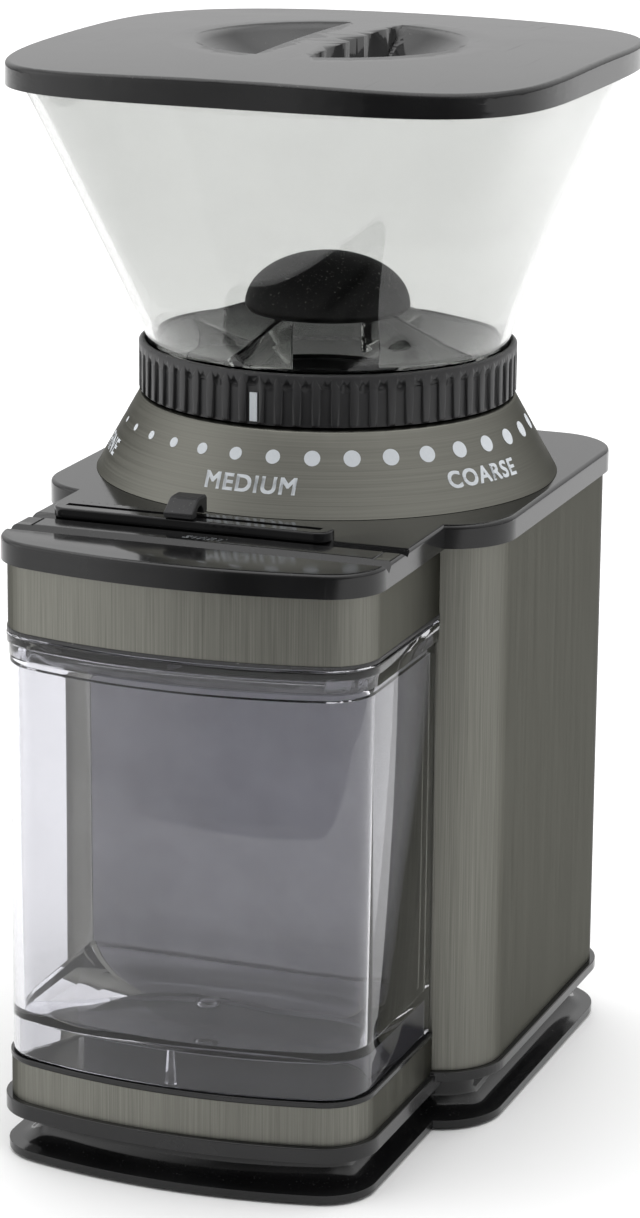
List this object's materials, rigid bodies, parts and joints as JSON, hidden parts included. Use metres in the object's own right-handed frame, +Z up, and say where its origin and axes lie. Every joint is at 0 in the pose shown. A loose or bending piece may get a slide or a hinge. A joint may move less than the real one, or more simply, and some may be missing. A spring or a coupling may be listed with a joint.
{
  "type": "burr coffee grinder",
  "caption": "Electric burr coffee grinder with a flared clear bean hopper, turning grind dial, motor column and slide-out grounds chamber",
  "frame": {"origin": "middle of the part's box on the surface it stands on", "axes": "+Z up, front with the grounds chamber towards -Y, +X to the right of a user facing it"},
  "size_m": [0.144, 0.1838, 0.272],
  "materials": {
    "gloss_black": "glossy moulded",
    "satin_black": "satin moulded",
    "brushed_gunmetal": "brushed, tinted gunmetal",
    "clear_plastic": "clear polished moulded plastic",
    "smoke_plastic": "clear smoky moulded plastic",
    "rubber_black": "soft moulded",
    "zinc_screw": "zinc plated",
    "spring_steel": "drawn wire",
    "burr_steel": "ground steel",
    "grey_plastic": "textured moulded",
    "white_ink": "printed",
    "board_green": "solder mask",
    "copper": "enamelled copper",
    "laminations": "stacked lamination",
    "frame_alloy": "die cast",
    "carbon": "pressed carbon",
    "motor_nylon": "moulded nylon"
  },
  "bodies": {
    "housing": {"foot_plate": "gloss_black", "rubber_feet": "rubber_black", "base_tray": "gloss_black", "base_screws": "zinc_screw", "base_band": "brushed_gunmetal", "column_shell": "satin_black", "steel_wrap": "brushed_gunmetal", "cord_gland": "rubber_black", "head_shell": "satin_black", "head_panel": "brushed_gunmetal", "head_screws": "zinc_screw", "top_cover": "gloss_black", "selector_rail": "gloss_black", "slide_potentiometer": "frame_alloy", "start_springs": "spring_steel", "start_switch": "satin_black", "timer_board": "board_green", "board_screws": "zinc_screw", "dial_cone": "brushed_gunmetal", "burr_housing": "grey_plastic", "housing_screws": "zinc_screw", "detent_ball": "spring_steel", "detent_spring": "spring_steel", "shaft_seal": "rubber_black", "hopper_switch": "satin_black", "chamber_switch": "satin_black", "motor_lower_frame": "frame_alloy", "motor_upper_frame": "frame_alloy", "lower_bearing": "burr_steel", "upper_bearing": "burr_steel", "stator_stack": "laminations", "field_coils": "copper", "motor_bolts": "zinc_screw", "rubber_bushes": "rubber_black", "mount_screws": "zinc_screw", "brush_holders": "motor_nylon", "carbon_brushes": "carbon", "brush_springs": "spring_steel"},
    "rotor": {"motor_shaft": "burr_steel", "armature_stack": "laminations", "armature_winding": "copper", "commutator": "copper", "cooling_fan": "motor_nylon", "burr_carrier": "motor_nylon", "lower_burr": "burr_steel", "burr_nut": "zinc_screw"},
    "hopper": {"hopper": "clear_plastic", "hopper_collar": "satin_black", "index_mark": "white_ink", "bean_dome": "satin_black", "adjust_ring": "grey_plastic"},
    "lid": {"hopper_lid": "gloss_black"},
    "upper_burr": {"upper_burr": "burr_steel", "upper_burr_carrier": "satin_black"},
    "chamber": {"grounds_chamber": "smoke_plastic", "chamber_lid": "smoke_plastic"},
    "cup_selector": {"cup_knob": "satin_black", "pot_lever": "motor_nylon"},
    "start_bar": {"start_bar": "gloss_black"}
  },
  "joints": [
    {"name": "drive_spin", "type": "hinge", "parent": "housing", "child": "rotor", "pos_m": [0, 0.01993, 0.165], "axis": [0, 0, 1], "continuous": true},
    {"name": "grind_select", "type": "hinge", "parent": "housing", "child": "hopper", "pos_m": [0, 0.01993, 0.181], "axis": [0, 0, 1], "range_deg": [-80, 96]},
    {"name": "burr_gap", "type": "slide", "parent": "hopper", "child": "upper_burr", "axis": [0, 0, 1], "range_m": [-0.0005, 0.0006]},
    {"name": "lid_lift", "type": "slide", "parent": "hopper", "child": "lid", "axis": [0, 0, 1], "range_m": [0, 0.06]},
    {"name": "chamber_slide", "type": "slide", "parent": "housing", "child": "chamber", "axis": [0, -1, 0], "range_m": [0, 0.09]},
    {"name": "cup_select", "type": "slide", "parent": "housing", "child": "cup_selector", "axis": [1, 0, 0], "range_m": [-0.027, 0.029]},
    {"name": "start_press", "type": "slide", "parent": "housing", "child": "start_bar", "axis": [0, 0, -1], "range_m": [0, 0.001], "stiffness_N_per_m": 900, "deforming": ["start_springs"]}
  ],
  "couplings": [
    {"joint": "burr_gap", "follows": "grind_select", "m_per_rad": 0.00034}
  ]
}
